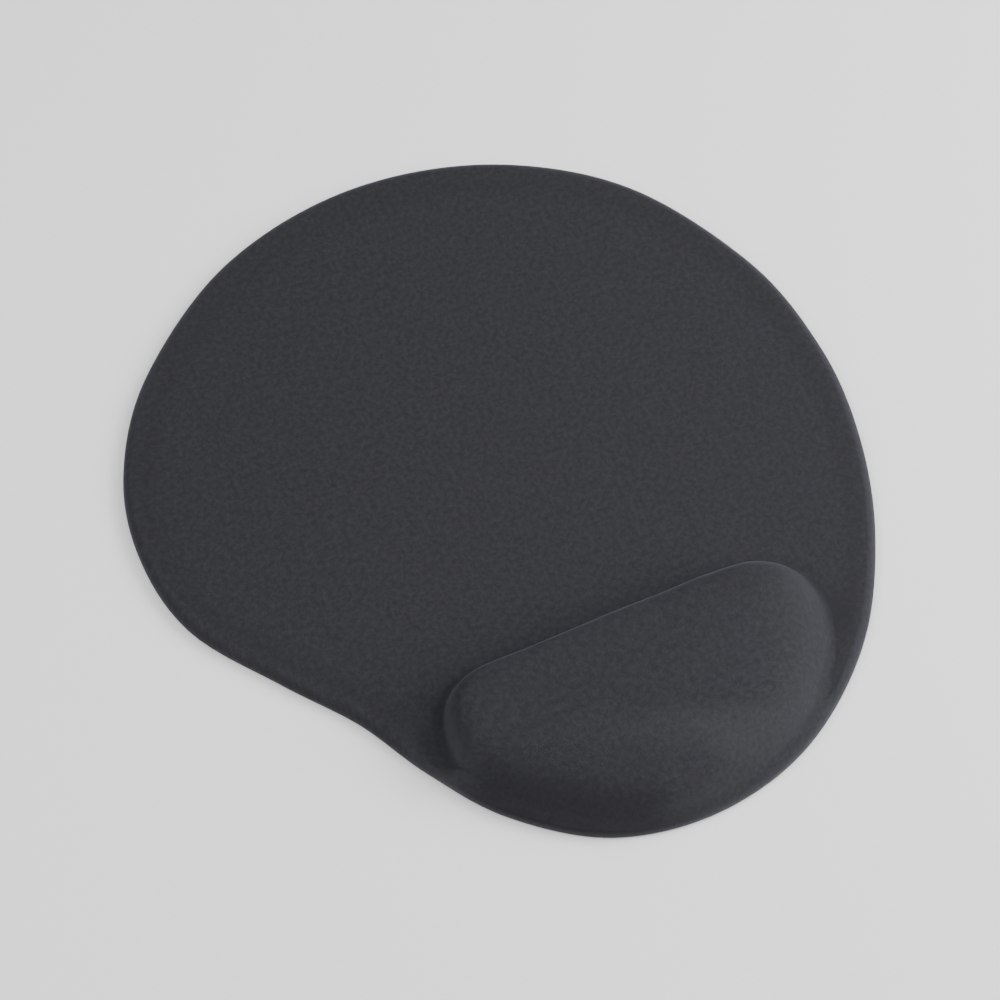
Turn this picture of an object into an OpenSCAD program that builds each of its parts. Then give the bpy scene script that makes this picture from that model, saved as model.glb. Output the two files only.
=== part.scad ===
// Gel mouse mat with a wrist rest.
// A round soft mat whose near side narrows to a lobe, where a gel cushion lies under the fabric.
// From the top down it is a knitted cover, a hot-melt film, a gel pouch of two welded films
// on a sheet of foam, a second hot-melt film and a non-slip base.
//
// Frame: X runs along the straight edge of the wrist rest, Y away from the user, Z up.
// Origin: centre of the mat's outline, on the table. Units: millimetres.

/* [Mat] */
// Width of the mat, from side to side
pad_w = 220; // [200:1:240]
// Depth of the mat, from the user to the far edge
pad_d = 240; // [220:1:260]
// Width of the rim over which the cover rolls down
rim_w = 3; // [2:0.5:4]
// Width of the rim where the rest comes down to the mat's edge
rim_w_rest = 1.2; // [1.1:0.1:2]

/* [Wrist rest] */
// Height of the wrist rest above the table
rest_h = 18; // [14:0.5:22]
// Largest radius of the hollow where the rest rises from the mat
hollow_r = 3.5; // [2:0.5:4]
// How far the top of the rest sinks towards its edges, as a share of its height
crown_sag = 0.06; // [0:0.01:0.12]
// Slope at which the top falls away beyond the fold across it
fold_slope = 0.13; // [0:0.01:0.16]

/* [Layers] */
// Thickness of the knitted cover
fabric_t = 0.5; // [0.4:0.1:0.7]
// Thickness of each hot-melt film
glue_t = 0.1; // [0.1:0.05:0.2]
// Thickness of each film of the gel pouch
film_t = 0.15; // [0.1:0.05:0.2]
// Thickness of the foam sheet
foam_t = 2.5; // [2:0.1:4]
// Thickness of the non-slip base
base_t = 0.8; // [0.6:0.1:1.5]
// How far the base stands back from the cover's edge
base_setback = 0.3; // [0.1:0.1:1]

/* [Smoothness] */
// Spokes round the wrist rest's centre
spokes = 96; // [72:12:108]
// Rings from the crown of the rest to its foot
crown_rings = 11; // [8:1:12]

/* [Hidden] */

// Heights of the layers
hem_z = base_t + glue_t;
foam_top = hem_z + foam_t;
mat_top = foam_top + glue_t + fabric_t;
crown_h = rest_h - mat_top;

// Depths below the outer face of the cover
glue_depth = fabric_t;
pouch_depth = fabric_t + glue_t;
gel_depth = pouch_depth + film_t;

// The far side of the mat is one arc, and the near side passes through these points
far_arc_centre = [-1, 8];
far_arc_r = 112;
near_side = [[-105, 50], [-110, 21], [-104.5, -7.5], [-86, -34], [-70, -54.5], [-58, -76], [-42, -97.5],
             [-17, -115], [14, -120], [46, -112], [75, -90], [95, -59.5], [106.5, -27], [110, 6],
             [103.5, 43.5]];
outline_points = concat([for (a = [44:24:140]) far_arc_centre + far_arc_r * [cos(a), sin(a)]], near_side);

// The wrist rest: the middle that its spokes start from, and the band that bounds it on the mat
rest_centre = [7, -82];
rest_band = [[-36, -55.3], [-18, -55], [0, -54.7], [20, -54.2], [40, -53.7], [55.5, -55.2], [66, -62],
             [69.3, -74], [66.5, -87], [60, -98], [47, -117], [20, -134], [-20, -134], [-49, -112],
             [-55, -88], [-51, -71], [-45.5, -60]];
// Its wall at eight bearings from the middle, 45 degrees apart, anticlockwise from its right end
wall_slope = [1.3, 5, 6, 6, 3.5, 4, 2.6, 1.4];      // rise over run
wall_turn = [1.6, 2.6, 3.5, 3.5, 2.5, 3.5, 3.5, 2.4];   // how sharply it turns into the top
wall_hollow = [0.35, 0.45, 0.85, 1, 0.85, 0.85, 0.85, 0.85];   // share of the hollow's largest radius
// In front the wall rises to a straight edge instead, this far from the middle at this bearing
front_reach = 29.3;
front_bearing = -126;
front_turn = 6;        // how tightly the two kinds of wall run together
steepest_share = 0.05; // least share of a spoke that the front wall takes
// The fold across the top, beyond which the top falls away towards the user
fold_point = [8, -90];
fold_bearing = -107;
fold_w = 2;
edge_sharpness = 14; // how tightly the band's ends turn into the mat's edge
lip_w = 0.4;         // least width of flat mat between the rest and the rim
weld_gap = 0.15;     // room between the weld of the pouch and the cover's film

curve_steps = 8;     // points on each span of a curve
rim_rings = 4;       // rings down the rim
hollow_rings = 3;    // rings round the hollow at the foot of the rest
wall_rings = 5;      // rings down the wall above the hollow
wall_foot = 0.3;     // height of the wall's last ring above the hollow

// ---------- curves ----------

// A point at t on the smooth span from b to c, which has the neighbours a and d
function span_point(a, b, c, d, t) =
    0.5 * (2 * b + (c - a) * t + (2 * a - 5 * b + 4 * c - d) * t * t
           + (3 * b - a - 3 * c + d) * t * t * t);

// A closed smooth curve through the points
function closed_curve(points) =
    let (n = len(points))
    [for (i = [0:n - 1], k = [0:curve_steps - 1])
        span_point(points[(i + n - 1) % n], points[i], points[(i + 1) % n], points[(i + 2) % n],
                   k / curve_steps)];

// The loop moved and scaled so that its box is w by d, centred on the origin
function fit_box(loop, w, d) =
    let (xs = [for (p = loop) p.x], ys = [for (p = loop) p.y],
         middle = [max(xs) + min(xs), max(ys) + min(ys)] / 2,
         scale_x = w / (max(xs) - min(xs)), scale_y = d / (max(ys) - min(ys)))
    [for (p = loop) [(p.x - middle.x) * scale_x, (p.y - middle.y) * scale_y]];

function wedge(a, b) = a.x * b.y - a.y * b.x;

// Distance from the centre, along a direction, to the loop
function reach(loop, centre, direction) =
    max([for (i = [0:len(loop) - 1])
        let (p = loop[i] - centre, side = loop[(i + 1) % len(loop)] - loop[i], turn = wedge(direction, side))
        if (abs(turn) > 1e-9)
            let (along = wedge(p, direction) / turn, distance = wedge(p, side) / turn)
            if (along >= -1e-9 && along <= 1 + 1e-9 && distance > 0) distance]);

// Outward unit normal of a closed loop at point i
function loop_normal(loop, i) =
    let (n = len(loop), t = loop[(i + 1) % n] - loop[(i + n - 1) % n])
    [t.y, -t.x] / norm(t);

function inset(loop, distance) =
    [for (i = [0:len(loop) - 1]) loop[i] - loop_normal(loop, i) * distance];

// ---------- plan ----------

sides = spokes - 1;
bearings = [for (j = [0:sides]) 360 * j / spokes];
directions = [for (a = bearings) [cos(a), sin(a)]];
mat_curve = fit_box(closed_curve(outline_points), pad_w, pad_d);
band_curve = closed_curve(rest_band);

// The mat's edge, one point on each spoke
mat_edge = fit_box([for (u = directions) rest_centre + u * reach(mat_curve, rest_centre, u)], pad_w, pad_d);
to_edge = [for (p = mat_edge) norm(p - rest_centre)];
to_band = [for (u = directions) reach(band_curve, rest_centre, u)];

// 1 where the rest comes down to the mat's edge, 0 where the mat goes on, smooth between
function ease(t) = let (c = min(1, max(0, t))) c * c * (3 - 2 * c);
at_edge = [for (j = [0:sides]) ease((to_band[j] / to_edge[j] - 0.85) / 0.2)];
rim = [for (share = at_edge) rim_w + (rim_w_rest - rim_w) * share];

// The loop moved inwards by a width at each point
function inset_each(loop, widths) =
    [for (i = [0:len(loop) - 1]) loop[i] - loop_normal(loop, i) * widths[i]];

// The lower of two lengths, with the corner between them rounded
function soft_lower(a, b, sharpness) = pow(pow(a, -sharpness) + pow(b, -sharpness), -1 / sharpness);

// How squarely each spoke meets the mat's edge, as a cosine
square_on = [for (j = [0:sides]) directions[j] * loop_normal(mat_edge, j)];

// The foot of the rest: the band, held inside the rim
foot_reach = [for (j = [0:sides])
    soft_lower(to_edge[j] - (rim[j] + lip_w) / square_on[j], to_band[j], edge_sharpness)];
foot = [for (j = [0:sides]) rest_centre + directions[j] * foot_reach[j]];

// A value at any bearing, between those given for the eight bearings
function by_bearing(values, bearing) =
    let (i = floor(bearing / 45), share = (1 - cos(4 * (bearing - 45 * i))) / 2)
    values[i % 8] * (1 - share) + values[(i + 1) % 8] * share;

// The hollow takes most of the flat mat between the foot and the rim, where there is little
flat_share = 0.8;
hollow = [for (j = [0:sides])
    min(hollow_r * by_bearing(wall_hollow, bearings[j]),
        flat_share * ((to_edge[j] - foot_reach[j]) * square_on[j] - rim[j]))];

// ---------- outer face of the cover, as rings of one point a spoke ----------

function at(p, z) = [p.x, p.y, z];

turn = [for (a = bearings) by_bearing(wall_turn, a)];

// Rise of the wall over its whole spoke: at its own slope, square to the foot line...
side_rise = [for (j = [0:sides])
    by_bearing(wall_slope, bearings[j]) * ((foot[j] - rest_centre) * loop_normal(foot, j))];
// ...or, in front, up to the straight edge
front_rise = [for (j = [0:sides])
    let (facing = max(0.1, cos(bearings[j] - front_bearing)))
    crown_h / max(steepest_share, 1 - front_reach / facing / foot_reach[j])];
rise = [for (j = [0:sides]) soft_lower(side_rise[j], front_rise[j], front_turn)];

// Share of the rest's height that is left at a point of its plan, after the fall beyond the fold
function fold_share(p) =
    let (beyond = (p - fold_point) * [cos(fold_bearing), sin(fold_bearing)])
    1 - fold_slope * (beyond + sqrt(beyond * beyond + fold_w * fold_w)) / 2 / crown_h;

function spot(j, share) = rest_centre + (foot[j] - rest_centre) * share;

// Height above the mat at a share of the way from the middle to the foot
function dome_height(j, share) =
    share >= 1 ? 0 :
    crown_h * soft_lower(crown_h * (1 - crown_sag * share * share), rise[j] * (1 - share), turn[j])
        / soft_lower(crown_h, rise[j], turn[j]) * fold_share(spot(j, share));

// How far the hollow carries the cover out at height h above the mat
function flare(j, h) =
    h >= hollow[j] ? 0 : hollow[j] - sqrt(pow(hollow[j], 2) - pow(hollow[j] - h, 2));

function dome_point(j, share) =
    let (h = dome_height(j, share))
    at(spot(j, share) + loop_normal(foot, j) * flare(j, h), mat_top + h);

// Shares at which the top gives way to the wall, and the wall to the hollow
shoulder_share = [for (j = [0:sides]) 1 - crown_h / rise[j]];
hollow_share = [for (j = [0:sides]) 1 - (hollow[j] + wall_foot) / (rise[j] * fold_share(foot[j]))];

function top_ring(k) =
    [for (j = [0:sides]) dome_point(j, shoulder_share[j] * (1 - pow(1 - k / (crown_rings - wall_rings), 2)))];

function wall_ring_at(k) =
    [for (j = [0:sides])
        dome_point(j, shoulder_share[j] + (hollow_share[j] - shoulder_share[j]) * k / wall_rings)];

function hollow_ring(k) =
    [for (j = [0:sides]) dome_point(j, 1 - (1 - hollow_share[j]) * pow(1 - k / hollow_rings, 2))];

// Ring k of the rim's roll down to the hem, this deep below the outer face
function rim_ring(k, depth) =
    let (roll = 90 * k / rim_rings, loop = inset_each(mat_edge, [for (w = rim) w - (w - depth) * sin(roll)]))
    [for (p = loop) at(p, hem_z + (mat_top - depth - hem_z) * cos(roll))];

top_point = at(rest_centre, rest_h);
skin = concat([for (k = [1:crown_rings - wall_rings]) top_ring(k)],
              [for (k = [1:wall_rings]) wall_ring_at(k)],
              [for (k = [1:hollow_rings]) hollow_ring(k)],
              [for (k = [0:rim_rings]) rim_ring(k, 0)]);
last_ring = len(skin) - 1;
wall_ring = crown_rings - 1;        // where the wall of the rest meets its hollow
first_rim_ring = crown_rings + hollow_rings;

// Outward unit normal of the skin at ring k above the rim, spoke j
function skin_normal(k, j) =
    let (inner = k == 0 ? top_point : skin[k - 1][j],
         side_a = skin[k][(j + sides) % spokes], side_b = skin[k][(j + 1) % spokes],
         n = cross(skin[k + 1][j] - inner, side_b - side_a))
    n / norm(n);

// Ring k of the face that lies this deep below the skin
function deep_ring(k, depth) =
    k >= first_rim_ring ? rim_ring(k - first_rim_ring, depth) :
    [for (j = [0:sides]) skin[k][j] - skin_normal(k, j) * depth];

function deep_top(depth) = top_point - [0, 0, depth];

// ---------- solids from rings ----------

// A closed solid: a first point, rings, a last point. The rings run from the top outwards and down.
module ring_solid(first, rings, last) {
    n = len(rings);
    end = n * spokes + 1;
    function id(k, j) = 1 + k * spokes + j % spokes;
    polyhedron(
        points = concat([first], [for (ring = rings, p = ring) p], [last]),
        faces = concat(
            [for (j = [0:sides]) [0, id(0, j + 1), id(0, j)]],
            [for (k = [0:n - 2], j = [0:sides]) [id(k, j), id(k, j + 1), id(k + 1, j)]],
            [for (k = [0:n - 2], j = [0:sides]) [id(k, j + 1), id(k + 1, j + 1), id(k + 1, j)]],
            [for (j = [0:sides]) [id(n - 1, j), id(n - 1, j + 1), end]]));
}

// The layer between two depths below the skin
module skin_layer(depth_a, depth_b) {
    ring_solid(deep_top(depth_a),
               concat([for (k = [0:last_ring]) deep_ring(k, depth_a)],
                      [for (k = [last_ring:-1:0]) deep_ring(k, depth_b)]),
               deep_top(depth_b));
}

function level_ring(loop, z) = [for (p = loop) at(p, z)];

// ---------- the parts ----------

// Stretch-knit cover, moulded over the rest and rolled down over the rim
module fabric_cover() {
    color("#3b3c40") skin_layer(0, glue_depth);
}

// Hot-melt film that bonds the cover to the foam and to the gel pouch
module cover_adhesive() {
    color("#d8d4c4") skin_layer(glue_depth, pouch_depth);
}

// The plan of the pouch: the wall of its upper film, and the flange where the films are welded
pouch_wall = inset(foot, pouch_depth);
gel_wall = inset(foot, gel_depth);
pouch_edge = [for (j = [0:sides])
    let (r = hollow[j] + pouch_depth, weld_t = 2 * film_t)
    foot[j] + loop_normal(foot, j) * (hollow[j] - sqrt(weld_t * (2 * r - weld_t)) - weld_gap)];

// Upper film of the gel pouch, formed to a dome with a flange
module gel_pouch_top() {
    color("#cfd8dc") ring_solid(deep_top(pouch_depth),
        concat([for (k = [0:wall_ring]) deep_ring(k, pouch_depth)],
               [level_ring(pouch_wall, foam_top + 2 * film_t),
                level_ring(pouch_edge, foam_top + 2 * film_t),
                level_ring(pouch_edge, foam_top + film_t),
                level_ring(gel_wall, foam_top + film_t)],
               [for (k = [wall_ring:-1:0]) deep_ring(k, gel_depth)]),
        deep_top(gel_depth));
}

// The gel itself
module gel_core() {
    color("#9fc4d8") ring_solid(deep_top(gel_depth),
        concat([for (k = [0:wall_ring]) deep_ring(k, gel_depth)],
               [level_ring(gel_wall, foam_top + film_t)]),
        at(rest_centre, foam_top + film_t));
}

// Lower film of the gel pouch, a flat sheet
module gel_pouch_bottom() {
    color("#cfd8dc") translate([0, 0, foam_top]) linear_extrude(film_t) polygon(pouch_edge);
}

// Foam sheet, with its upper edge rounded by the cover
module foam_sheet() {
    color("#55565a") ring_solid(at(rest_centre, foam_top),
        [for (k = [first_rim_ring:last_ring]) deep_ring(k, pouch_depth)],
        at(rest_centre, hem_z));
}

base_edge = inset(mat_edge, base_setback);

// Hot-melt film that bonds the base to the foam
module base_adhesive() {
    color("#d8d4c4") translate([0, 0, base_t]) linear_extrude(glue_t) polygon(base_edge);
}

// Non-slip base
module non_slip_base() {
    color("#232427") linear_extrude(base_t) polygon(base_edge);
}

fabric_cover();
cover_adhesive();
gel_pouch_top();
gel_core();
gel_pouch_bottom();
foam_sheet();
base_adhesive();
non_slip_base();
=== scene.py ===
"""Gel mouse mat with a wrist rest, in a plain studio. Metres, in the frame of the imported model.

The layers follow the same plan as the CAD: spokes run out from the middle of the wrist rest, and every
layer lies at its own depth below the outer face of the knitted cover.
"""

import math

import bmesh
import bpy
import numpy as np
from mathutils import Matrix, Vector


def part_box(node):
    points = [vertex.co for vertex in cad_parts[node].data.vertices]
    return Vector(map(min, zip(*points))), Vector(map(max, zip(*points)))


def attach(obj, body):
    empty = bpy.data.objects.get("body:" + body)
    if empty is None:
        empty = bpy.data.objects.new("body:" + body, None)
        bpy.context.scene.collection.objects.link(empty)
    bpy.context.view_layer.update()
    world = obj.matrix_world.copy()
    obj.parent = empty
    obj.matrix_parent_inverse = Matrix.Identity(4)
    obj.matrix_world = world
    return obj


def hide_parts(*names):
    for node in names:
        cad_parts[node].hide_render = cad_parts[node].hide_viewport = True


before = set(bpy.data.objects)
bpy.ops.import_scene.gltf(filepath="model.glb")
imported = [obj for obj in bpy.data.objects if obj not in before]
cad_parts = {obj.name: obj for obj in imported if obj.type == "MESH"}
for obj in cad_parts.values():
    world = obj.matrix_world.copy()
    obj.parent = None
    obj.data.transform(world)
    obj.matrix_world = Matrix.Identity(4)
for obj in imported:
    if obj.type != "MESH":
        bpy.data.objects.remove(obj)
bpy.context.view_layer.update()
MM = 0.001

# ---------------------------------------------------------------- sizes, in millimetres

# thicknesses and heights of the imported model
BOX_LOW, BOX_HIGH = (np.array(corner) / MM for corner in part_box("fabric_cover"))
BASE_T = (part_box("non_slip_base")[1][2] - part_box("non_slip_base")[0][2]) / MM
GLUE_T = (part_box("base_adhesive")[1][2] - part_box("base_adhesive")[0][2]) / MM
FILM_T = (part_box("gel_pouch_bottom")[1][2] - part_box("gel_pouch_bottom")[0][2]) / MM
FOAM_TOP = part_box("gel_pouch_bottom")[0][2] / MM
FABRIC_T = (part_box("fabric_cover")[1][2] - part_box("cover_adhesive")[1][2]) / MM
HEM_Z = BASE_T + GLUE_T
MAT_TOP = FOAM_TOP + GLUE_T + FABRIC_T
CROWN_H = BOX_HIGH[2] - MAT_TOP
# depths below the cover's outer face
POUCH_DEPTH = FABRIC_T + GLUE_T
GEL_DEPTH = POUCH_DEPTH + FILM_T

# the mat's outline: an arc round the far side, then points from its left end round to its right end
FAR_ARC_CENTRE, FAR_ARC_R = np.array([-1.0, 8.0]), 112.0
FAR_ARC_BEARINGS = range(44, 141, 24)
NEAR_SIDE = [(-105, 50), (-110, 21), (-104.5, -7.5), (-86, -34), (-70, -54.5), (-58, -76),
             (-42, -97.5), (-17, -115), (14, -120), (46, -112), (75, -90), (95, -59.5), (106.5, -27),
             (110, 6), (103.5, 43.5)]
# the rest's middle, where the spokes meet, and the band that its foot follows, or else the mat's rim where
# that is nearer
REST_CENTRE = np.array([7.0, -82.0])
REST_BAND = [(-36, -55.3), (-18, -55), (0, -54.7), (20, -54.2), (40, -53.7), (55.5, -55.2), (66, -62),
             (69.3, -74), (66.5, -87), (60, -98), (47, -117), (20, -134), (-20, -134), (-49, -112),
             (-55, -88), (-51, -71), (-45.5, -60)]
FOOT_SHARPNESS = 14
# the ratios of the band's reach to the mat's, between which the rest comes down to the mat's edge
AT_EDGE = (0.85, 1.05)
# at eight bearings, anticlockwise from the right: the wall's rise over run, how sharply it turns into the
# top, and the largest radius of the hollow at its foot
WALL_SLOPE = [1.3, 5, 6, 6, 3.5, 4, 2.6, 1.4]
WALL_TURN = [1.6, 2.6, 3.5, 3.5, 2.5, 3.5, 3.5, 2.4]
HOLLOW_R = [1.2, 1.6, 3, 3.5, 3, 3, 3, 3]
# the most of the space between the foot and the rim that the hollow may fill
HOLLOW_SHARE = 0.8
# the straight edge where the top turns down in front: its distance from the rest's middle, the way it
# faces, and how sharply the walls beside it meet the front one
FRONT_REACH, FRONT_BEARING, FRONT_SHARPNESS = 29.3, -126.0, 6
# least values, which keep the spokes that face away from the front edge finite
LEAST_FACING, LEAST_RUN = 0.1, 0.05
# the top: its sag towards the foot, and a point, the bearing, the slope and the width of the fold beyond
# which it sinks
CROWN_SAG = 0.06
FOLD_POINT, FOLD_BEARING, FOLD_SLOPE, FOLD_W = np.array([8.0, -90.0]), -107.0, 0.13, 2.0
# the rolled rim round the mat and in front of the rest, and the flat lip between the rest and the rim
RIM_W, RIM_W_REST, LIP_W = 3.0, 1.2, 0.4
# how far above its hollow the pouch's dome ends, the gap round its weld, and how far inside the mat's edge
# the base ends
WALL_FOOT, WELD_GAP, BASE_SETBACK = 0.3, 0.15, 0.3

# the grid: spokes round, rings over the rest, the flat mat, the rim and the pouch, and the steps that each
# spoke's profile is measured in, crowded towards the foot
SPOKES = 360
DOME_RINGS, FLAT_RINGS, RIM_RINGS, POUCH_RINGS = 54, 26, 9, 36
PROFILE_STEPS, PROFILE_CROWDING = 500, 2.5

# ---------------------------------------------------------------- curves


def closed_curve(points, steps=12):
    """A closed smooth curve through the points."""
    b = np.array(points, float)
    a, c, d = np.roll(b, 1, 0), np.roll(b, -1, 0), np.roll(b, -2, 0)
    spans = []
    for t in np.arange(steps) / steps:
        spans.append(0.5 * (2 * b + (c - a) * t + (2 * a - 5 * b + 4 * c - d) * t**2
                            + (3 * b - a - 3 * c + d) * t**3))
    return np.stack(spans, 1).reshape(-1, 2)


def fit_box(loop, low, high):
    """The loop, stretched to fill a box."""
    loop_low, loop_high = loop.min(0), loop.max(0)
    return low + (loop - loop_low) * (high - low) / (loop_high - loop_low)


def reach(loop, centre, directions):
    """Distance from the centre to the loop, along each direction."""
    p, side = loop - centre, np.roll(loop, -1, 0) - loop
    result = []
    for u in directions:
        turn = u[0] * side[:, 1] - u[1] * side[:, 0]
        turn = np.where(np.abs(turn) < 1e-9, 1e-9, turn)
        along = (p[:, 0] * u[1] - p[:, 1] * u[0]) / turn
        distance = (p[:, 0] * side[:, 1] - p[:, 1] * side[:, 0]) / turn
        hit = (along >= -1e-9) & (along <= 1 + 1e-9) & (distance > 0)
        result.append(distance[hit].max())
    return np.array(result)


def loop_normals(loop):
    """Outward unit normals of an anticlockwise loop."""
    t = np.roll(loop, -1, 0) - np.roll(loop, 1, 0)
    return np.stack([t[:, 1], -t[:, 0]], 1) / np.linalg.norm(t, axis=1)[:, None]


def inset(loop, distance):
    """The loop, moved inwards by one distance or by a distance for each point."""
    return loop - loop_normals(loop) * np.reshape(distance, (-1, 1))


def lift(loop, z):
    """A flat loop, set at one height or at a height for each point."""
    return np.column_stack([loop, np.broadcast_to(z, len(loop))])


def smooth(x, low, high):
    """An eased step: 0 up to the low value of x, 1 from the high one."""
    t = np.clip((x - low) / (high - low), 0, 1)
    return t * t * (3 - 2 * t)


def soft_lower(a, b, sharpness):
    """The lower of two values, with a rounded turn from one to the other."""
    return (a**-sharpness + b**-sharpness) ** (-1 / sharpness)


def unit(bearing):
    """Unit vector at a bearing in degrees."""
    return np.array([math.cos(math.radians(bearing)), math.sin(math.radians(bearing))])


# ---------------------------------------------------------------- plan

angles = 2 * np.pi * np.arange(SPOKES) / SPOKES
directions = np.column_stack([np.cos(angles), np.sin(angles)])
far_arc = [FAR_ARC_CENTRE + FAR_ARC_R * unit(a) for a in FAR_ARC_BEARINGS]
mat_curve = fit_box(closed_curve(far_arc + NEAR_SIDE), BOX_LOW[:2], BOX_HIGH[:2])
mat_edge = REST_CENTRE + directions * reach(mat_curve, REST_CENTRE, directions)[:, None]
to_edge = np.linalg.norm(mat_edge - REST_CENTRE, axis=1)
to_band = reach(closed_curve(REST_BAND), REST_CENTRE, directions)
# 1 in front, where the rest comes down to the mat's edge, and 0 where the mat goes on past it
at_edge = smooth(to_band / to_edge, *AT_EDGE)
rim = RIM_W + (RIM_W_REST - RIM_W) * at_edge
rim_top = inset(mat_edge, rim)
square_on = (directions * loop_normals(mat_edge)).sum(1)
to_rim = to_edge - (rim + LIP_W) / square_on
foot_reach = soft_lower(to_rim, to_band, FOOT_SHARPNESS)
foot = REST_CENTRE + directions * foot_reach[:, None]
foot_normals = loop_normals(foot)


def by_bearing(values):
    """A value at every bearing, between those given for eight bearings."""
    turns = angles / (math.pi / 4)
    i = np.floor(turns).astype(int)
    share = (1 - np.cos(np.pi * (turns - i))) / 2
    values = np.array(values, float)
    return values[i % 8] * (1 - share) + values[(i + 1) % 8] * share


hollow = np.minimum(by_bearing(HOLLOW_R), HOLLOW_SHARE * ((to_edge - foot_reach) * square_on - rim))
turn = by_bearing(WALL_TURN)
# the wall's rise over the whole spoke: at its own slope, or in front up to a straight edge across the spokes
side_rise = by_bearing(WALL_SLOPE) * ((foot - REST_CENTRE) * foot_normals).sum(1)
front_normal, fold_normal = unit(FRONT_BEARING), unit(FOLD_BEARING)
facing = np.maximum(directions @ front_normal, LEAST_FACING)
front_rise = CROWN_H / np.maximum(1 - FRONT_REACH / facing / foot_reach, LEAST_RUN)
rise = soft_lower(side_rise, front_rise, FRONT_SHARPNESS)


def fold_share(points):
    """Share of the rest's height that is left beyond the fold across its top, where it falls away."""
    beyond = (points - FOLD_POINT) @ fold_normal
    return 1 - FOLD_SLOPE * (beyond + np.sqrt(beyond**2 + FOLD_W**2)) / 2 / CROWN_H


def dome_ring(share):
    """One ring of the rest, at a share of the way from its middle to its foot on each spoke."""
    crown, wall = CROWN_H * (1 - CROWN_SAG * share**2), np.maximum(rise * (1 - share), 1e-6)
    height = CROWN_H * soft_lower(crown, wall, turn) / soft_lower(CROWN_H, rise, turn)
    spot = REST_CENTRE + (foot - REST_CENTRE) * share[:, None]
    height = np.where(share >= 1, 0, height * fold_share(spot))
    low = np.minimum(height, hollow)
    flare = hollow - np.sqrt(hollow**2 - (hollow - low) ** 2)
    return lift(spot + foot_normals * flare[:, None], MAT_TOP + height)


TOP = np.array([*REST_CENTRE, BOX_HIGH[2]])


def dome_rings(count, last_share):
    """Rings evenly spaced along the profile, from the middle to a share of the way to the foot."""
    steps = 1 - (1 - np.linspace(0, 1, PROFILE_STEPS)) ** PROFILE_CROWDING
    dense = np.array([dome_ring(last_share * s) for s in steps])
    length = np.concatenate([np.zeros((1, SPOKES)),
                             np.cumsum(np.linalg.norm(np.diff(dense, axis=0), axis=2), 0)])
    result = np.empty((count, SPOKES, 3))
    for j in range(SPOKES):
        stops = length[-1, j] * np.arange(1, count + 1) / count
        for axis in range(3):
            result[:, j, axis] = np.interp(stops, length[:, j], dense[:, j, axis])
    return result


rings = list(dome_rings(DOME_RINGS, np.ones(SPOKES)))
FOOT_RING = DOME_RINGS - 1
foot_plan = rings[-1][:, :2]
for k in range(1, FLAT_RINGS):
    share = k / FLAT_RINGS
    rings.append(lift(foot_plan + (rim_top - foot_plan) * share, MAT_TOP))
FIRST_RIM_RING = len(rings)


def rim_rings(depth):
    """Rings that roll down the rim to the hem, at a depth below the outer face."""
    rolls = np.linspace(0, math.pi / 2, RIM_RINGS + 1)
    return [lift(inset(mat_edge, rim - (rim - depth) * math.sin(roll)),
                 HEM_Z + (MAT_TOP - depth - HEM_Z) * math.cos(roll)) for roll in rolls]


rings += rim_rings(0)
skin = np.array(rings)

# in front, where the rest comes down to the mat's edge, its wall runs into the rim in one smooth bend
BEND_START, BEND_END = FOOT_RING - 5, FIRST_RIM_RING + 3
BEND_AT_EDGE = (0.3, 1)
start, end = skin[BEND_START], skin[BEND_END]
span = np.linalg.norm(end - start, axis=1)[:, None]


def run_on(ring):
    """The way each spoke runs at a ring, as long as the bend."""
    way = skin[ring] - skin[ring - 1]
    return way / np.linalg.norm(way, axis=1)[:, None] * span


for k in range(BEND_START + 1, BEND_END):
    t = (k - BEND_START) / (BEND_END - BEND_START)
    bend = ((2 * t**3 - 3 * t**2 + 1) * start + (t**3 - 2 * t**2 + t) * run_on(BEND_START)
            + (3 * t**2 - 2 * t**3) * end + (t**3 - t**2) * run_on(BEND_END + 1))
    rings[k] = skin[k] + (bend - skin[k]) * smooth(at_edge, *BEND_AT_EDGE)[:, None]
skin = np.array(rings)
plan = skin[..., :2]


def line_distance(points, a, b):
    """Distance from a segment, and how far along it each point lies."""
    a, b = np.array(a, float), np.array(b, float)
    along = np.clip(((points - a) @ (b - a)) / ((b - a) @ (b - a)), 0, 1)
    return np.linalg.norm(points - a - along[..., None] * (b - a), axis=-1), along


# a shallow wrinkle that runs out over the mat from the rest's far right corner, highest halfway along
WRINKLE = [(56.0, -50.0), (66.0, -57.0), (76.0, -66.0)]
WRINKLE_H, WRINKLE_W, WRINKLE_FADE = 0.35, 1.5, 0.35
near_start, along_start = line_distance(plan, WRINKLE[0], WRINKLE[1])
near_end, along_end = line_distance(plan, WRINKLE[1], WRINKLE[2])
fade = np.sin(math.pi * (0.5 - WRINKLE_FADE + WRINKLE_FADE * (along_start + along_end)))
wrinkle = WRINKLE_H * np.exp(-(np.minimum(near_start, near_end) / WRINKLE_W) ** 2) * fade
wrinkle[:FOOT_RING + 1] = 0
wrinkle[FIRST_RIM_RING:] = 0
skin[..., 2] += wrinkle


def loop_distance(points, loop):
    """Distance of each point from the nearest point of a loop."""
    return np.sqrt(((points[..., None, :] - loop) ** 2).sum(-1).min(-1))


def across(normal):
    """The flat direction a quarter turn anticlockwise from a normal."""
    return np.array([-normal[1], normal[0]])


def lobe(bearing, inner, outer):
    """1 on the spokes within the inner angle of a bearing, 0 beyond the outer angle."""
    return smooth(directions @ unit(bearing), math.cos(math.radians(outer)), math.cos(math.radians(inner)))


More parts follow.
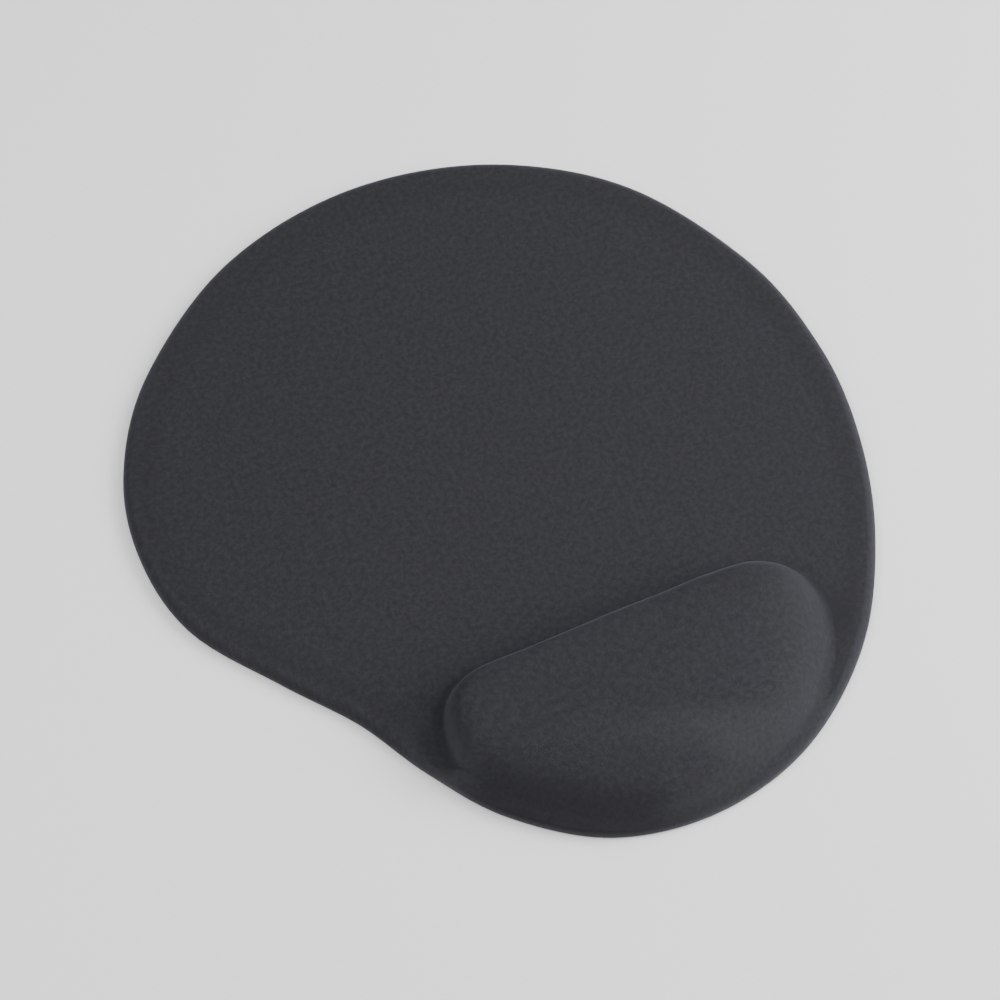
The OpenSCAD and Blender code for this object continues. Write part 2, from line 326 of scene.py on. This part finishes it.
# painted shade, which darkens the knit along the mat's edge, in the narrow valley on the right of the rest,
# and down the front and the left end of the rest; pairs are the starts and ends of eased steps
MARGIN_TONE, MARGIN_IN, MARGIN_OUT = 0.45, (0.5, 3.5), (4, 10)
VALLEY, VALLEY_W, VALLEY_DROP, VALLEY_IN = np.array([73.5, -80.0]), 9.0, (-7, -4), (0, 4)
FRONT_IN, FRONT_FROM, FRONT_TO, FRONT_RIM_TONE = (-2, 6), (-52, -32), (5, 30), 1.7
LEFT_BEARING, LEFT_SPREAD, LEFT_TONE, LEFT_TOP = 152, (18, 30), 0.5, (10, 17)
from_edge, from_foot = loop_distance(plan, rim_top), loop_distance(plan, foot_plan)
on_rest = np.arange(len(skin))[:, None] < FOOT_RING
left_end = lobe(LEFT_BEARING, *LEFT_SPREAD)
past_front = (plan - REST_CENTRE) @ front_normal - FRONT_REACH
along_front = (plan - REST_CENTRE) @ across(front_normal)
margin = MARGIN_TONE * smooth(from_edge, *MARGIN_IN) * (1 - smooth(from_edge, *MARGIN_OUT)) * (1 - at_edge)
margin[:FOOT_RING] = 0
margin[FIRST_RIM_RING:] = 0
valley = np.exp(-(((plan - VALLEY) / VALLEY_W) ** 2).sum(-1)) * smooth(-skin[..., 2], *VALLEY_DROP)
valley *= smooth(from_edge, *VALLEY_IN)
front = (smooth(past_front, *FRONT_IN) * smooth(along_front, *FRONT_FROM)
         * (1 - smooth(along_front, *FRONT_TO)))
front[FIRST_RIM_RING:] *= FRONT_RIM_TONE
left_wall = LEFT_TONE * left_end * on_rest * (1 - smooth(skin[..., 2], *LEFT_TOP))
painted_shade = np.maximum.reduce([margin, valley, front, left_wall])

# painted light, which lightens the knit and lowers its roughness a little: a painted sheen streak beyond the
# fold, that widens towards the right, and painted light over the shade in the corner in front of the left end
STREAK_W, STREAK_WIDENS, STREAK_FROM, STREAK_OUT = 9, 0.12, (-2, 5), (0.7, 1.7)
STREAK_LEFT, STREAK_RIGHT = (-45, 25), (28, 50)
CORNER_BEARING, CORNER_SPREAD = 173, (7, 15)
CORNER_TONE, CORNER_TOP, CORNER_MAT_TONE, CORNER_OUT = 0.25, (6, 12), 1.3, (5, 13)
past_fold = (plan - FOLD_POINT) @ fold_normal
along_fold = (plan - FOLD_POINT) @ across(fold_normal)
streak_w = STREAK_W + STREAK_WIDENS * along_fold
painted_light = (smooth(past_fold, *STREAK_FROM)
        * (1 - smooth(past_fold, STREAK_OUT[0] * streak_w, STREAK_OUT[1] * streak_w))
        * smooth(along_fold, *STREAK_LEFT) * (1 - smooth(along_fold, *STREAK_RIGHT)))
corner = np.where(on_rest, CORNER_TONE * (1 - smooth(skin[..., 2], *CORNER_TOP)),
                  CORNER_MAT_TONE * (1 - smooth(from_foot, *CORNER_OUT)))
corner = lobe(CORNER_BEARING, *CORNER_SPREAD) * corner
painted_light = np.maximum(painted_light * on_rest, corner)

# ---------------------------------------------------------------- skin offsets


def grid_normals(grid, beyond):
    """Outward unit normals of rings, the last of which goes on towards the ring beyond."""
    inner = np.concatenate([np.broadcast_to(TOP, (1, SPOKES, 3)), grid[:-1]])
    outer = np.concatenate([grid[1:], [beyond]])
    inner[-1] = grid[-1]
    n = np.cross(outer - inner, np.roll(grid, -1, 1) - np.roll(grid, 1, 1))
    return n / np.linalg.norm(n, axis=2)[..., None]


normals = grid_normals(skin, skin[-1] - [0, 0, 1])


def deep(depth):
    """Rings of the face this deep below the skin, and its top point."""
    face = skin - normals * depth
    face[FIRST_RIM_RING:] = rim_rings(depth)
    return face, TOP - [0, 0, depth]


hollow_share = 1 - (hollow + WALL_FOOT) / (rise * fold_share(foot))
pouch_skin = dome_rings(POUCH_RINGS, hollow_share)
pouch_normals = grid_normals(pouch_skin, dome_ring((1 + hollow_share) / 2))

# ---------------------------------------------------------------- meshes


def ring_mesh(name, first, ring_list, last):
    """A closed solid from a first point, rings and a last point, in millimetres."""
    ring_list = np.array(ring_list)
    count = len(ring_list)
    points = [first, *ring_list.reshape(-1, 3), last]
    faces = []
    for j in range(SPOKES):
        nxt = (j + 1) % SPOKES
        faces.append((0, 1 + j, 1 + nxt))
        for k in range(count - 1):
            a = 1 + k * SPOKES
            faces.append((a + j, a + SPOKES + j, a + SPOKES + nxt, a + nxt))
        a = 1 + (count - 1) * SPOKES
        faces.append((a + j, len(points) - 1, a + nxt))
    mesh = bpy.data.meshes.new(name)
    mesh.from_pydata([tuple(np.array(p) * MM) for p in points], [], faces)
    mesh.shade_smooth()
    obj = bpy.data.objects.new(name, mesh)
    bpy.context.scene.collection.objects.link(obj)
    return obj


def point_attribute(obj, name, kind, values):
    """Values at the mesh's points, which its material reads by name."""
    attribute = obj.data.attributes.new(name, kind, "POINT")
    field = "value" if kind == "FLOAT" else "vector"
    attribute.data.foreach_set(field, np.asarray(values, np.float32).ravel())


def fan(loop, z, count):
    """Flat rings from a loop in towards the middle of the rest, the loop itself left out."""
    return [lift(REST_CENTRE + (loop - REST_CENTRE) * k / (count + 1), z) for k in range(count, 0, -1)]


# ---------------------------------------------------------------- cover

inner, inner_top = deep(FABRIC_T)
run = np.linalg.norm(np.diff(np.concatenate([np.broadcast_to(TOP, (1, SPOKES, 3)), skin]), axis=0), axis=2)
arc = np.cumsum(run, 0)
flat_foot = np.linalg.norm(foot_plan - REST_CENTRE, axis=1)
cloth_radius = np.where(np.arange(len(skin))[:, None] <= FOOT_RING, arc / arc[FOOT_RING] * flat_foot,
                        flat_foot + arc - arc[FOOT_RING])
cloth = REST_CENTRE + directions[None] * cloth_radius[..., None]
# painted highlight: how sharply the cover turns over a ridge, which lightens the knit there, except at the
# left end
step = skin[2:] - skin[:-2]
ridge_highlight = np.zeros(skin.shape[:2])
ridge_highlight[1:-1] = ((normals[2:] - normals[:-2]) * step).sum(2) / (step**2).sum(2) * (1 - left_end)

cover = ring_mesh("knit_cover", TOP, list(skin) + list(inner[::-1]), inner_top)
both_sides = list(cloth) + list(cloth[::-1])
flat_cloth = np.concatenate([[REST_CENTRE], np.array(both_sides).reshape(-1, 2), [REST_CENTRE]])
point_attribute(cover, "cloth", "FLOAT_VECTOR", np.column_stack([flat_cloth, np.zeros(len(flat_cloth))]))
for name, grid in (("ridge_highlight", ridge_highlight), ("painted_shade", painted_shade), ("painted_light", painted_light)):
    point_attribute(cover, name, "FLOAT", np.concatenate([[0], grid.ravel(), grid[::-1].ravel(), [0]]))

# ---------------------------------------------------------------- layers under the cover

# rings between an edge and the middle of each flat face
GEL_FAN, POUCH_FAN, FOAM_FAN, BASE_FAN = 8, 10, 20, 14
glue_low, glue_low_top = deep(POUCH_DEPTH)
cover_film = ring_mesh("cover_hot_melt_film", inner_top, list(inner) + list(glue_low[::-1]), glue_low_top)

pouch_wall, gel_wall = inset(foot, POUCH_DEPTH), inset(foot, GEL_DEPTH)
weld_t = 2 * FILM_T
weld_reach = hollow - np.sqrt(weld_t * (2 * (hollow + POUCH_DEPTH) - weld_t)) - WELD_GAP
pouch_edge = foot + foot_normals * weld_reach[:, None]
film_outer, film_inner = (pouch_skin - pouch_normals * depth for depth in (POUCH_DEPTH, GEL_DEPTH))
film_z, weld_z = FOAM_TOP + FILM_T, FOAM_TOP + weld_t
pouch_top = ring_mesh("gel_pouch_upper_film", TOP - [0, 0, POUCH_DEPTH],
                      list(film_outer) + [lift(pouch_wall, weld_z), lift(pouch_edge, weld_z),
                                          lift(pouch_edge, film_z), lift(gel_wall, film_z)]
                      + list(film_inner[::-1]), TOP - [0, 0, GEL_DEPTH])
gel = ring_mesh("gel_filling", TOP - [0, 0, GEL_DEPTH],
                list(film_inner) + [lift(gel_wall, film_z)] + fan(gel_wall, film_z, GEL_FAN),
                np.array([*REST_CENTRE, film_z]))


EASE, EASE_SHARE = 0.25, 0.3


def flat_layer(name, loop, low, high, count):
    """A flat sheet with an eased edge between two heights."""
    ease = min(EASE, EASE_SHARE * (high - low))
    small = inset(loop, ease)
    edge = [lift(small, high), lift(loop, high - ease), lift(loop, low + ease), lift(small, low)]
    ring_list = fan(small, high, count)[::-1] + edge + fan(small, low, count)
    return ring_mesh(name, np.array([*REST_CENTRE, high]), ring_list, np.array([*REST_CENTRE, low]))


pouch_bottom = flat_layer("gel_pouch_lower_film", pouch_edge, FOAM_TOP, film_z, POUCH_FAN)
foam_rim = list(glue_low[FIRST_RIM_RING:])
foam_rings = (fan(foam_rim[0][:, :2], FOAM_TOP, FOAM_FAN)[::-1] + foam_rim
              + fan(foam_rim[-1][:, :2], HEM_Z, FOAM_FAN))
foam = ring_mesh("foam_sheet_body", np.array([*REST_CENTRE, FOAM_TOP]), foam_rings,
                 np.array([*REST_CENTRE, HEM_Z]))
base_edge = inset(mat_edge, BASE_SETBACK)
base_film = flat_layer("base_hot_melt_film", base_edge, BASE_T, HEM_Z, BASE_FAN)

DOT_H, DOT_R, DOT_PITCH, DOT_MARGIN, DOT_SIDES = 0.15, 1.05, 4.0, 2.0, 10
DOT_ROWS, DOT_COLUMNS = range(-35, 36), range(-28, 29)
# each stud's radii and heights, from where it sinks into the sheet down to the table
DOT_PROFILE = ((DOT_R, DOT_H + 0.05), (DOT_R * 0.92, 0.04), (DOT_R * 0.7, 0))
base = flat_layer("non_slip_sheet", base_edge, DOT_H, BASE_T, BASE_FAN)


def inside(points, loop):
    """Which points lie inside a closed loop."""
    result = np.zeros(len(points), bool)
    for a, b in zip(loop, np.roll(loop, -1, 0)):
        crosses = (a[1] > points[:, 1]) != (b[1] > points[:, 1])
        at_x = a[0] + (points[:, 1] - a[1]) * (b[0] - a[0]) / (b[1] - a[1] + 1e-12)
        result ^= crosses & (points[:, 0] < at_x)
    return result


def add_dots(obj, loop):
    """Low round studs in staggered rows on the underside, down to the table."""
    row_step = DOT_PITCH * math.sqrt(3) / 2
    spots = np.array([(x * DOT_PITCH + (y % 2) * DOT_PITCH / 2, y * row_step)
                      for y in DOT_ROWS for x in DOT_COLUMNS])
    spots = spots[inside(spots, loop)]
    mesh = bmesh.new()
    mesh.from_mesh(obj.data)
    corners = [(math.cos(a), math.sin(a)) for a in np.arange(DOT_SIDES) * 2 * math.pi / DOT_SIDES]
    for x, y in spots:
        levels = [[mesh.verts.new(((x + r * c) * MM, (y + r * s) * MM, z * MM)) for c, s in corners]
                  for r, z in DOT_PROFILE]
        mesh.faces.new(levels[0])
        mesh.faces.new(levels[-1][::-1])
        for upper, lower in zip(levels, levels[1:]):
            for i in range(DOT_SIDES):
                mesh.faces.new((upper[i - 1], lower[i - 1], lower[i], upper[i]))
    mesh.to_mesh(obj.data)
    mesh.free()


add_dots(base, inset(base_edge, DOT_MARGIN))

# ---------------------------------------------------------------- materials


class Nodes:
    """A material and short calls that add its nodes."""

    def __init__(self, name):
        self.material = bpy.data.materials.new(name)
        self.material.use_nodes = True
        self.tree = self.material.node_tree
        self.shader = self.tree.nodes["Principled BSDF"]

    def add(self, kind, **settings):
        node = self.tree.nodes.new(kind)
        for key, value in settings.items():
            setattr(node, key, value)
        return node

    def link(self, a, b):
        self.tree.links.new(a, b)

    def feed(self, socket, value):
        """Links an output to a socket, or sets the socket to a plain value."""
        if isinstance(value, bpy.types.NodeSocket):
            self.link(value, socket)
        else:
            socket.default_value = value

    def math(self, operation, *values, clamp=False):
        node = self.add("ShaderNodeMath", operation=operation, use_clamp=clamp)
        for socket, value in zip(node.inputs, values):
            self.feed(socket, value)
        return node.outputs[0]

    def mix(self, factor, a, b):
        node = self.add("ShaderNodeMix", data_type="RGBA")
        self.feed(node.inputs["Factor"], factor)
        self.feed(node.inputs[6], a)
        self.feed(node.inputs[7], b)
        return node.outputs[2]

    def noise(self, vector, scale, detail=2.0, roughness=0.5):
        node = self.add("ShaderNodeTexNoise")
        self.link(vector, node.inputs["Vector"])
        node.inputs["Scale"].default_value = scale
        node.inputs["Detail"].default_value = detail
        node.inputs["Roughness"].default_value = roughness
        return node.outputs["Fac"]

    def ramp(self, value, low, high, out_low=0.0, out_high=1.0):
        """The value, mapped from one range to another and held at its ends."""
        node = self.add("ShaderNodeMapRange")
        self.link(value, node.inputs["Value"])
        for key, number in (("From Min", low), ("From Max", high), ("To Min", out_low), ("To Max", out_high)):
            node.inputs[key].default_value = number
        return node.outputs[0]

    def millimetres(self):
        """The object's own coordinates, in millimetres."""
        node = self.add("ShaderNodeVectorMath", operation="SCALE")
        self.link(self.add("ShaderNodeTexCoord").outputs["Object"], node.inputs[0])
        node.inputs["Scale"].default_value = 1 / MM
        return node.outputs[0]

    def bump(self, height, strength, distance):
        """A normal for this height, whose full depth is the distance in metres."""
        node = self.add("ShaderNodeBump")
        node.inputs["Strength"].default_value = strength
        node.inputs["Distance"].default_value = distance
        self.link(height, node.inputs["Height"])
        return node.outputs["Normal"]


# width and height of a stitch, how far the yarn's two legs slant, and how far the columns stray
WALE_MM, COURSE_MM, LEG_SLANT = 0.5, 0.42, 1.3
YARN_WANDER, WANDER_SCALE = (1.2, 1.2, 0), 0.12
# the knit's colour under the painted shade, and the darkest and the palest of the rest
KNIT_PAINTED_SHADE, KNIT_DARK, KNIT_LIGHT = ((0.005, 0.005, 0.0067, 1), (0.0098, 0.01, 0.013, 1),
                                    (0.0209, 0.0212, 0.027, 1))
KNIT_SHEEN = (0.80, 0.84, 1.0, 1)
# how much of the knit's tone comes from each cause; the stitch's is painted shade, the last two painted
# highlight and light
STITCH_TONE, FIBRE_TONE, GRAIN_TONE, PATCH_TONE, RIDGE_HIGHLIGHT_TONE, PAINTED_LIGHT_TONE = 0.45, 0.35, 3.1, 0.2, 0.42, 0.24


def knit_material():
    """Stitch columns along the cloth, mottled yarn, painted shade, and painted highlights on the ridges and
    top.
    """
    m = Nodes("knit_fabric")
    cloth_at = m.add("ShaderNodeAttribute", attribute_name="cloth").outputs["Vector"]
    split = m.add("ShaderNodeSeparateXYZ")
    # the yarn wanders a little, so the columns aren't ruler-straight
    wander = m.add("ShaderNodeTexNoise")
    m.link(cloth_at, wander.inputs["Vector"])
    wander.inputs["Scale"].default_value = WANDER_SCALE
    shifted = m.add("ShaderNodeVectorMath", operation="MULTIPLY_ADD")
    m.link(wander.outputs["Color"], shifted.inputs[0])
    shifted.inputs[1].default_value = YARN_WANDER
    m.link(cloth_at, shifted.inputs[2])
    m.link(shifted.outputs[0], split.inputs[0])
    wale = m.math("MULTIPLY", split.outputs["X"], 1 / WALE_MM)
    course = m.math("MULTIPLY", split.outputs["Y"], 1 / COURSE_MM)
    from_rib = m.math("ABSOLUTE", m.math("SUBTRACT", m.math("FRACT", wale), 0.5))
    leg = m.math("SINE", m.math("MULTIPLY", from_rib, 2 * math.pi))
    slant = m.math("ADD", course, m.math("MULTIPLY", from_rib, LEG_SLANT))
    loop = m.math("ABSOLUTE", m.math("SINE", m.math("MULTIPLY", slant, math.pi)))
    stitch = m.math("MULTIPLY", m.math("POWER", leg, 0.6), m.math("POWER", loop, 0.7))
    fibre = m.noise(cloth_at, scale=4.0, detail=4.0, roughness=0.75)
    grain = m.noise(cloth_at, scale=0.6, detail=3.5, roughness=0.75)
    patch = m.noise(cloth_at, scale=0.1, detail=3.0, roughness=0.6)
    ridge_highlight_at, painted_shade_at, painted_light_at = (m.add("ShaderNodeAttribute", attribute_name=name).outputs["Fac"]
                                   for name in ("ridge_highlight", "painted_shade", "painted_light"))
    height = m.math("ADD", m.math("MULTIPLY", stitch, 0.8), m.math("MULTIPLY", fibre, 0.5))
    # the stitch tone is painted shade, darker between the loops
    tone = m.math("ADD", m.math("MULTIPLY", stitch, STITCH_TONE), m.math("MULTIPLY", fibre, FIBRE_TONE))
    tone = m.math("ADD", tone, m.math("MULTIPLY", m.math("SUBTRACT", grain, 0.5), GRAIN_TONE))
    # painted highlight along the crests and rims
    tone = m.math("ADD", tone, m.ramp(ridge_highlight_at, 0.1, 0.35, 0.0, RIDGE_HIGHLIGHT_TONE))
    # painted light in the sheen streak and over the shade in the corner
    tone = m.math("ADD", tone, m.math("MULTIPLY", painted_light_at, PAINTED_LIGHT_TONE))
    tone = m.math("ADD", tone, m.math("MULTIPLY", m.math("SUBTRACT", patch, 0.5), PATCH_TONE), clamp=True)
    # painted shade: the knit goes towards its own dark colour where the painted shade mask is set
    colour = m.mix(m.math("MULTIPLY", painted_shade_at, 0.5), m.mix(tone, KNIT_DARK, KNIT_LIGHT), KNIT_PAINTED_SHADE)
    m.link(colour, m.shader.inputs["Base Color"])
    roughness = m.ramp(fibre, 0.3, 0.7, 0.7, 0.82)
    m.link(m.math("SUBTRACT", roughness, m.math("MULTIPLY", painted_light_at, 0.08)), m.shader.inputs["Roughness"])
    m.shader.inputs["Specular IOR Level"].default_value = 0.29
    m.shader.inputs["Sheen Weight"].default_value = 0.12
    m.shader.inputs["Sheen Roughness"].default_value = 0.4
    m.shader.inputs["Sheen Tint"].default_value = KNIT_SHEEN
    m.link(m.bump(height, strength=0.5, distance=0.00012), m.shader.inputs["Normal"])
    return m.material


FILM_SHADE, FILM_IOR = 0.82, 1.45


def film_material(name, colour, transmission, roughness, mottle_scale, wrinkle):
    """A thin polymer film: faint mottle in its colour, gloss that varies, shallow wrinkles."""
    m = Nodes(name)
    place = m.millimetres()
    mottle = m.noise(place, scale=mottle_scale, detail=3.0, roughness=0.6)
    fine = m.noise(place, scale=mottle_scale * 9, detail=2.0, roughness=0.5)
    shade = [c * FILM_SHADE for c in colour]
    m.link(m.mix(mottle, (*shade, 1), (*colour, 1)), m.shader.inputs["Base Color"])
    m.link(m.ramp(fine, 0.3, 0.7, roughness * 0.7, roughness * 1.3), m.shader.inputs["Roughness"])
    m.shader.inputs["Transmission Weight"].default_value = transmission
    m.shader.inputs["IOR"].default_value = FILM_IOR
    height = m.math("ADD", mottle, m.math("MULTIPLY", fine, 0.15))
    m.link(m.bump(height, strength=wrinkle, distance=0.0004), m.shader.inputs["Normal"])
    return m.material


GEL_DEEP, GEL_PALE, GEL_BUBBLE = (0.26, 0.45, 0.56, 1), (0.38, 0.56, 0.66, 1), (0.75, 0.85, 0.9, 1)
GEL_IOR, BUBBLE_SCALE = 1.41, 0.45


def gel_material():
    """Soft clear gel with a blue tint, fine bubbles and streaks."""
    m = Nodes("gel")
    place = m.millimetres()
    bubbles = m.add("ShaderNodeTexVoronoi", feature="F1")
    m.link(place, bubbles.inputs["Vector"])
    bubbles.inputs["Scale"].default_value = BUBBLE_SCALE
    bubble = m.ramp(bubbles.outputs["Distance"], 0.10, 0.16, 1.0, 0.0)
    streak = m.noise(place, scale=0.06, detail=3.0, roughness=0.55)
    m.link(m.mix(bubble, m.mix(streak, GEL_DEEP, GEL_PALE), GEL_BUBBLE), m.shader.inputs["Base Color"])
    m.link(m.ramp(streak, 0.3, 0.7, 0.12, 0.3), m.shader.inputs["Roughness"])
    m.shader.inputs["Transmission Weight"].default_value = 0.55
    m.shader.inputs["IOR"].default_value = GEL_IOR
    height = m.math("ADD", streak, m.math("MULTIPLY", bubble, 0.3))
    m.link(m.bump(height, strength=0.4, distance=0.0005), m.shader.inputs["Normal"])
    return m.material


FOAM_DARK, FOAM_PALE, FOAM_WALL = (0.075, 0.075, 0.08, 1), (0.11, 0.11, 0.118, 1), (0.16, 0.16, 0.168, 1)
FOAM_CELL_SCALE = 1.6


def foam_material():
    """Fine closed cells, with painted shade darkening their pits, on a sheet that varies a little in tone."""
    m = Nodes("foam")
    place = m.millimetres()
    cells = m.add("ShaderNodeTexVoronoi", feature="DISTANCE_TO_EDGE")
    m.link(place, cells.inputs["Vector"])
    cells.inputs["Scale"].default_value = FOAM_CELL_SCALE
    # painted shade: the cells' pits darker than their walls
    wall = m.ramp(cells.outputs["Distance"], 0.02, 0.3, 1.0, 0.0)
    tone = m.noise(place, scale=0.08, detail=3.0, roughness=0.6)
    m.link(m.mix(wall, m.mix(tone, FOAM_DARK, FOAM_PALE), FOAM_WALL), m.shader.inputs["Base Color"])
    m.link(m.ramp(tone, 0.3, 0.7, 0.8, 0.95), m.shader.inputs["Roughness"])
    m.link(m.bump(wall, strength=0.6, distance=0.0002), m.shader.inputs["Normal"])
    return m.material


RUBBER_DARK, RUBBER_PALE, DUST = (0.016, 0.016, 0.018, 1), (0.027, 0.027, 0.029, 1), (0.05, 0.049, 0.047, 1)


def base_material():
    """Matte non-slip rubber with a fine calendered grain and a trace of dust in its hollows."""
    m = Nodes("base_rubber")
    place = m.millimetres()
    grain = m.noise(place, scale=2.2, detail=3.0, roughness=0.6)
    tone = m.noise(place, scale=0.05, detail=3.0, roughness=0.55)
    dusty = m.ramp(grain, 0.55, 0.75, 0.0, 0.5)
    m.link(m.mix(dusty, m.mix(tone, RUBBER_DARK, RUBBER_PALE), DUST), m.shader.inputs["Base Color"])
    m.link(m.ramp(grain, 0.3, 0.7, 0.62, 0.85), m.shader.inputs["Roughness"])
    m.shader.inputs["Specular IOR Level"].default_value = 0.35
    m.link(m.bump(grain, strength=0.5, distance=0.0001), m.shader.inputs["Normal"])
    return m.material


def stage_material():
    """Plain pale grey, matte."""
    m = Nodes("studio_floor")
    m.shader.inputs["Base Color"].default_value = (0.92, 0.92, 0.92, 1)
    m.shader.inputs["Roughness"].default_value = 0.9
    m.shader.inputs["Specular IOR Level"].default_value = 0.1
    return m.material


knit = knit_material()
glue = film_material("hot_melt_film", (0.72, 0.69, 0.6), transmission=0.25, roughness=0.4,
                     mottle_scale=0.5, wrinkle=0.5)
clear_film = film_material("clear_film", (0.8, 0.85, 0.88), transmission=0.85, roughness=0.18,
                           mottle_scale=0.12, wrinkle=0.35)
for piece, material, node, slot in ((cover, knit, "fabric_cover", "knit_fabric"),
                                    (cover_film, glue, "cover_adhesive", "hot_melt_film"),
                                    (pouch_top, clear_film, "gel_pouch_top", "clear_film"),
                                    (gel, gel_material(), "gel_core", "gel"),
                                    (pouch_bottom, clear_film, "gel_pouch_bottom", "clear_film"),
                                    (foam, foam_material(), "foam_sheet", "foam"),
                                    (base_film, glue, "base_adhesive", "hot_melt_film"),
                                    (base, base_material(), "non_slip_base", "base_rubber")):
    piece.data.materials.append(material)
    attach(piece, "root")
    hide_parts(node)

# ---------------------------------------------------------------- studio

FLOOR_HALF, FLOOR_Z = 4, -0.00003
floor_mesh = bpy.data.meshes.new("floor")
floor_mesh.from_pydata([(x * FLOOR_HALF, y * FLOOR_HALF, FLOOR_Z)
                        for x, y in ((-1, -1), (1, -1), (1, 1), (-1, 1))], [], [(0, 1, 2, 3)])
floor = bpy.data.objects.new("floor", floor_mesh)
bpy.context.scene.collection.objects.link(floor)
floor.data.materials.append(stage_material())

WORLD_STRENGTH = 0.29
world = bpy.data.worlds.new("studio")
bpy.context.scene.world = world
world.use_nodes = True
world.node_tree.nodes["Background"].inputs["Color"].default_value = (1, 1, 1, 1)
world.node_tree.nodes["Background"].inputs["Strength"].default_value = WORLD_STRENGTH

CAMERA_AZ, CAMERA_EL, CAMERA_DISTANCE = math.radians(-23.62), math.radians(62), 0.7145
SENSOR_MM, LENS_MM, NEAR_CLIP = 36, 85, 0.05
AIM = Vector((-0.0033, -0.0031, 0))


def toward(azimuth, elevation):
    """Unit vector towards something at this bearing, 0 in front of the object and 90 on its right."""
    return Vector((math.cos(elevation) * math.sin(azimuth), -math.cos(elevation) * math.cos(azimuth),
                   math.sin(elevation)))


def look_at(obj, place, target):
    """Puts a light or camera at a place, turned towards a target."""
    facing = (target - place).to_track_quat("-Z", "Y")
    obj.matrix_world = Matrix.Translation(place) @ facing.to_matrix().to_4x4()


def softbox(name, azimuth, elevation, distance, size, watts):
    """A rectangular light of this size that points at the object."""
    light = bpy.data.lights.new(name, "AREA")
    light.shape, light.size, light.size_y = "RECTANGLE", size[0], size[1]
    light.energy = watts
    obj = bpy.data.objects.new(name, light)
    bpy.context.scene.collection.objects.link(obj)
    look_at(obj, AIM + toward(math.radians(azimuth), math.radians(elevation)) * distance, AIM)


BOX_DISTANCE, BOX_SIZE = 1.1, (0.7, 0.5)
softbox("key", 60, 25, BOX_DISTANCE, BOX_SIZE, 9.2)
softbox("right", 90, 38, BOX_DISTANCE, BOX_SIZE, 9.9)
softbox("ceiling", 0, 80, 3.0, (5.0, 4.0), 70.0)
softbox("left", 270, 50, BOX_DISTANCE, BOX_SIZE, 5.2)

camera_data = bpy.data.cameras.new("camera")
camera_data.sensor_width, camera_data.lens, camera_data.clip_start = SENSOR_MM, LENS_MM, NEAR_CLIP
camera = bpy.data.objects.new("camera", camera_data)
bpy.context.scene.collection.objects.link(camera)
look_at(camera, AIM + toward(CAMERA_AZ, CAMERA_EL) * CAMERA_DISTANCE, AIM)
bpy.context.scene.camera = camera
